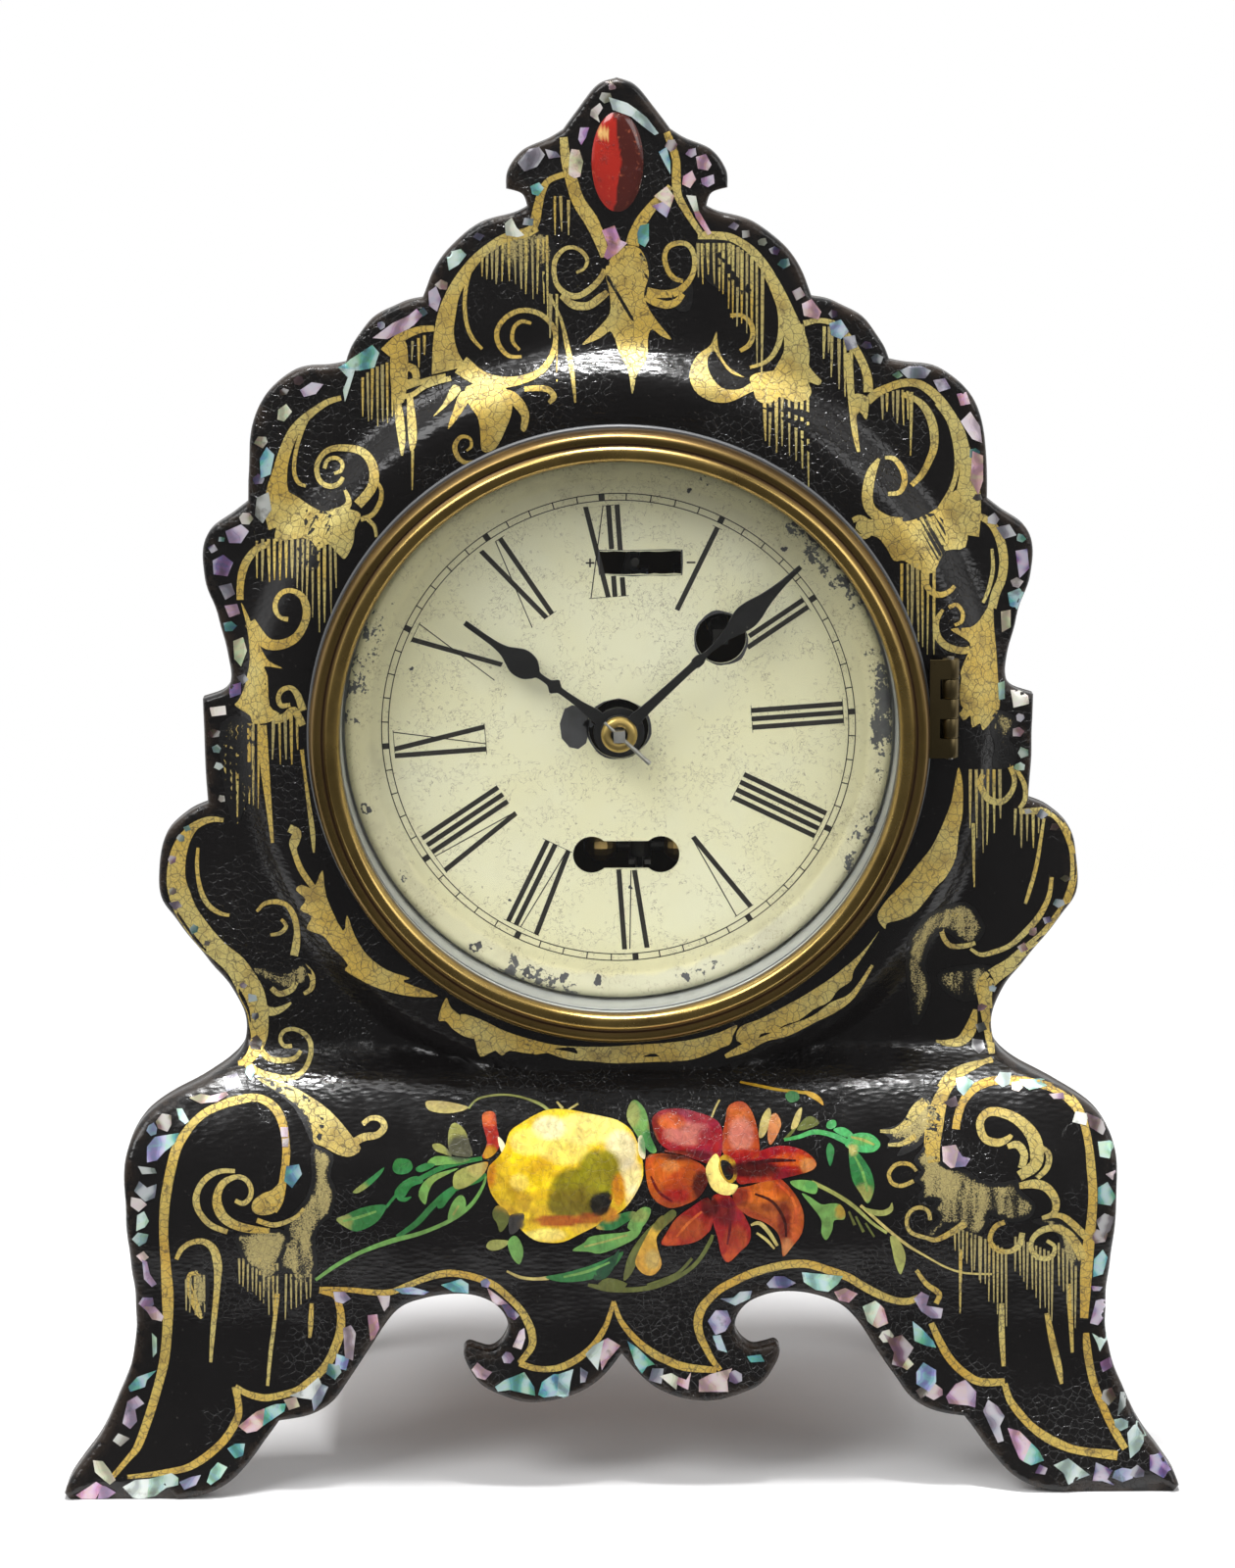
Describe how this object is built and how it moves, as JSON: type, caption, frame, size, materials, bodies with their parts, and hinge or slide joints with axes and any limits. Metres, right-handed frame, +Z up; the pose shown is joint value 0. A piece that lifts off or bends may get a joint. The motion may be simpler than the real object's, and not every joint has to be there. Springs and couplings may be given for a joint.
{
  "type": "torsion pendulum clock",
  "caption": "Shelf clock with a scalloped lacquered front on flared feet, a hinged glazed bezel, a roman dial and a torsion balance seen through a window below the centre.",
  "frame": {"origin": "on the floor, below the middle of the clock's overall width and depth", "axes": "+Z up, -Y the way the dial faces, +X to the right as seen from the front"},
  "size_m": [0.232, 0.106, 0.2913],
  "materials": {
    "black_lacquer": "papier mache japanned in crazed black lacquer",
    "case_wood": "stained softwood",
    "dial_paint": "aged cream paint on sheet metal",
    "zinc": "dull grey zinc",
    "bezel_brass": "lacquered brass with brown patina",
    "movement_brass": "satin brass",
    "steel": "bright turned steel",
    "spring_steel": "blued spring steel",
    "hand_black": "black paint with small chips",
    "glass": "clear flat glass",
    "iron_screw": "dark iron"
  },
  "bodies": {
    "case": {"front_shell": "black_lacquer", "case_front_board": "case_wood", "case_top_board": "case_wood", "case_bottom_board": "case_wood", "case_side_left": "case_wood", "case_side_right": "case_wood", "back_board": "case_wood", "back_screw_1": "iron_screw", "back_screw_2": "iron_screw", "back_screw_3": "iron_screw", "back_screw_4": "iron_screw", "rear_foot_left": "case_wood", "rear_foot_right": "case_wood", "dial_drum": "zinc", "dial_plate": "dial_paint", "hinge_case_leaf": "bezel_brass", "hinge_pin": "steel", "front_movement_plate": "movement_brass", "back_movement_plate": "movement_brass", "pillar_1": "movement_brass", "pillar_2": "movement_brass", "pillar_3": "movement_brass", "pillar_4": "movement_brass", "movement_rail_lower": "case_wood", "movement_rail_upper": "case_wood", "movement_screw_lower": "iron_screw", "movement_screw_upper": "iron_screw", "mainspring": "spring_steel", "suspension_cock": "movement_brass", "torsion_strip": "spring_steel", "regulator_stud": "steel"},
    "bezel": {"bezel_ring": "bezel_brass", "bezel_glass": "glass", "glass_retainer": "zinc", "hinge_bezel_leaf": "bezel_brass"},
    "minute_work": {"minute_arbor": "steel", "cannon_pinion": "movement_brass", "centre_wheel": "movement_brass", "minute_hand": "hand_black", "hand_collet": "movement_brass", "hand_taper_pin": "steel"},
    "hour_work": {"hour_wheel": "movement_brass", "hour_hand": "hand_black"},
    "minute_wheel": {"minute_wheel": "movement_brass"},
    "main_wheel": {"main_wheel": "movement_brass", "click_spring": "spring_steel"},
    "click": {"click": "steel"},
    "winder": {"winding_arbor": "steel", "ratchet_wheel": "steel"},
    "third_wheel": {"third_arbor": "steel", "third_wheel": "movement_brass"},
    "escape_wheel": {"escape_arbor": "steel", "escape_wheel": "movement_brass"},
    "verge": {"verge_arbor": "steel", "crutch": "steel"},
    "balance": {"balance_bar": "movement_brass", "balance_ball_left": "movement_brass", "balance_ball_right": "movement_brass"},
    "regulator": {"regulator_lever": "movement_brass"}
  },
  "joints": [
    {"name": "bezel_swing", "type": "hinge", "parent": "case", "child": "bezel", "pos_m": [0.0679, -0.0375, 0.1633], "axis": [0, 0, 1], "range_deg": [0, 110]},
    {"name": "hands_turn", "type": "hinge", "parent": "case", "child": "minute_work", "pos_m": [0, 0, 0.1576], "axis": [0, 1, 0], "continuous": true},
    {"name": "hour_turn", "type": "hinge", "parent": "case", "child": "hour_work", "pos_m": [0, 0, 0.1576], "axis": [0, 1, 0], "continuous": true},
    {"name": "minute_wheel_turn", "type": "hinge", "parent": "case", "child": "minute_wheel", "pos_m": [-0.0168, 0, 0.1576], "axis": [0, 1, 0], "continuous": true},
    {"name": "main_wheel_turn", "type": "hinge", "parent": "case", "child": "main_wheel", "pos_m": [0.02117, 0, 0.17646], "axis": [0, 1, 0], "continuous": true},
    {"name": "third_wheel_turn", "type": "hinge", "parent": "case", "child": "third_wheel", "pos_m": [-0.00316, 0, 0.13487], "axis": [0, 1, 0], "continuous": true},
    {"name": "escape_wheel_turn", "type": "hinge", "parent": "case", "child": "escape_wheel", "pos_m": [0.0046, 0, 0.116], "axis": [0, 1, 0], "continuous": true},
    {"name": "winding_turn", "type": "hinge", "parent": "case", "child": "winder", "pos_m": [0.02117, 0, 0.17646], "axis": [0, 1, 0], "continuous": true, "deforming": ["mainspring"]},
    {"name": "click_lift", "type": "hinge", "parent": "main_wheel", "child": "click", "pos_m": [0.01177, 0, 0.18636], "axis": [0, -1, 0], "range_deg": [-6.5, 12], "deforming": ["click_spring"]},
    {"name": "balance_twist", "type": "hinge", "parent": "case", "child": "balance", "pos_m": [0.0046, -0.0145, 0.1305], "axis": [0, 0, 1], "range_deg": [-30, 30], "stiffness_Nm_per_rad": 0.00003, "deforming": ["torsion_strip"]},
    {"name": "verge_rock", "type": "hinge", "parent": "case", "child": "verge", "pos_m": [0.0046, 0, 0.1008], "axis": [0, 1, 0], "range_deg": [-7.1, 7.1]},
    {"name": "regulator_swing", "type": "hinge", "parent": "case", "child": "regulator", "pos_m": [-0.0004, -0.0096, 0.176], "axis": [0, 1, 0], "range_deg": [-14, 12]}
  ],
  "couplings": [
    {"joint": "hour_turn", "follows": "hands_turn", "ratio": 0.083333},
    {"joint": "minute_wheel_turn", "follows": "hands_turn", "ratio": -0.33333},
    {"joint": "main_wheel_turn", "follows": "hands_turn", "ratio": -0.16667},
    {"joint": "third_wheel_turn", "follows": "hands_turn", "ratio": -8},
    {"joint": "escape_wheel_turn", "follows": "hands_turn", "ratio": 60},
    {"joint": "verge_rock", "follows": "balance_twist", "ratio": -0.2335}
  ]
}
